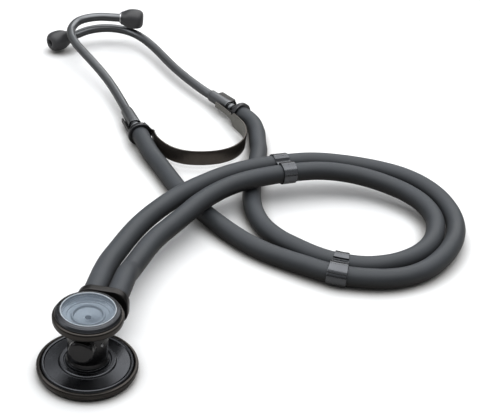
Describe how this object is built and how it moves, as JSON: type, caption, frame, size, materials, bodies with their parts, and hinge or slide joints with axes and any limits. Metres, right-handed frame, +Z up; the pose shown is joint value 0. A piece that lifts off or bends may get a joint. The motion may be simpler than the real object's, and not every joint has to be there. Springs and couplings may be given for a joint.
{
  "type": "stethoscope",
  "caption": "Twin-tube stethoscope with a turning double-sided chestpiece, paired rubber tubes held by clips, bent ear tubes on a leaf spring and soft ear tips.",
  "frame": {"origin": "foot of the chestpiece axis on the plane the stethoscope rests on", "axes": "+Z up through the chestpiece from the large diaphragm to the small cup; +Y along the spindle from the end cap towards the tubing; +X completes the right-handed set, towards the loop of tubing"},
  "size_m": [0.2968, 0.397, 0.0354],
  "materials": {
    "rubber_tube": "matte slate-grey synthetic rubber",
    "black_plate": "glossy black-plated brass",
    "black_satin": "satin black plating",
    "gunmetal": "satin dark plated tube",
    "spring_strip": "satin brown-black spring steel",
    "ear_tip": "soft satin dark grey",
    "clear_disc": "clear polymer disc",
    "diaphragm_film": "thin resin film",
    "seal": "black rubber seal",
    "bare_steel": "bright steel, inside the drum"
  },
  "bodies": {
    "tubing": {"left_tube": "rubber_tube", "right_tube": "rubber_tube", "leaf_spring": "spring_strip"},
    "left_binaural": {"left_tube_ear_end": "rubber_tube", "left_ferrule": "black_satin", "left_ear_barb": "black_satin", "left_socket": "gunmetal", "left_ear_tube": "gunmetal", "left_tip_insert": "bare_steel"},
    "right_binaural": {"right_tube_ear_end": "rubber_tube", "right_ferrule": "black_satin", "right_ear_barb": "black_satin", "right_socket": "gunmetal", "right_ear_tube": "gunmetal", "right_tip_insert": "bare_steel"},
    "left_tip": {"left_ear_tip": "ear_tip"},
    "right_tip": {"right_ear_tip": "ear_tip"},
    "upper_clip": {"upper_tube_clip": "black_plate"},
    "lower_clip": {"lower_tube_clip": "black_plate"},
    "chest_end": {"left_tube_chest_end": "rubber_tube", "right_tube_chest_end": "rubber_tube", "yoke_plate": "black_satin", "chest_hose_barbs": "bare_steel", "spindle": "bare_steel", "spindle_o_ring": "seal", "wave_washer": "bare_steel", "spindle_cap": "black_plate"},
    "drum": {"drum_body": "black_plate", "large_cup": "black_plate", "small_cup": "black_plate", "detent_ball": "bare_steel", "detent_spring": "bare_steel", "detent_screw": "bare_steel"},
    "large_diaphragm_set": {"large_diaphragm": "diaphragm_film", "large_gasket": "seal"},
    "large_ring": {"large_retaining_ring": "black_plate"},
    "small_diaphragm_set": {"small_diaphragm": "clear_disc", "small_gasket": "seal"},
    "small_ring": {"small_retaining_ring": "black_plate"}
  },
  "joints": [
    {"name": "left_spread", "type": "hinge", "parent": "tubing", "child": "left_binaural", "pos_m": [0.00026, 0.17805, 0.0055], "axis": [0, 0, 1], "range_deg": [0, 18], "deforming": ["leaf_spring"]},
    {"name": "right_spread", "type": "hinge", "parent": "tubing", "child": "right_binaural", "pos_m": [0.05095, 0.2096, 0.0055], "axis": [0, 0, -1], "range_deg": [0, 18]},
    {"name": "left_tip_pull", "type": "slide", "parent": "left_binaural", "child": "left_tip", "axis": [0.9884, 0.1521, 0], "range_m": [0, 0.012]},
    {"name": "right_tip_pull", "type": "slide", "parent": "right_binaural", "child": "right_tip", "axis": [-0.644, -0.7618, -0.0707], "range_m": [0, 0.012]},
    {"name": "upper_clip_slide", "type": "hinge", "parent": "tubing", "child": "upper_clip", "pos_m": [0.14236, 0.05274, 0.01699], "axis": [0, 0, 1], "range_deg": [-3.06, 3.06]},
    {"name": "lower_clip_slide", "type": "hinge", "parent": "tubing", "child": "lower_clip", "pos_m": [0.11311, 0.15933, 0.0062], "axis": [0, 0, 1], "range_deg": [-8.17, 8.17]},
    {"name": "chest_lift", "type": "hinge", "parent": "tubing", "child": "chest_end", "pos_m": [0.00223, 0.07203, 0.01772], "axis": [-0.9488, 0.1617, 0.2712], "range_deg": [0, 45]},
    {"name": "drum_turn", "type": "hinge", "parent": "chest_end", "child": "drum", "pos_m": [0, 0, 0.02], "axis": [0, 1, 0], "continuous": true},
    {"name": "large_lift", "type": "slide", "parent": "drum", "child": "large_diaphragm_set", "axis": [0, 0, -1], "range_m": [0, 0.00401]},
    {"name": "large_ring_turn", "type": "hinge", "parent": "large_diaphragm_set", "child": "large_ring", "pos_m": [0, 0, 0], "axis": [0, 0, -1], "range_deg": [0, 1800]},
    {"name": "small_lift", "type": "slide", "parent": "drum", "child": "small_diaphragm_set", "axis": [0, 0, 1], "range_m": [0, 0.00201]},
    {"name": "small_ring_turn", "type": "hinge", "parent": "small_diaphragm_set", "child": "small_ring", "pos_m": [0, 0, 0.034], "axis": [0, 0, 1], "range_deg": [0, 1440]}
  ],
  "couplings": [
    {"joint": "right_spread", "follows": "left_spread", "ratio": 1},
    {"joint": "large_lift", "follows": "large_ring_turn", "m_per_rad": 0.00012732},
    {"joint": "small_lift", "follows": "small_ring_turn", "m_per_rad": 0.000079577}
  ]
}
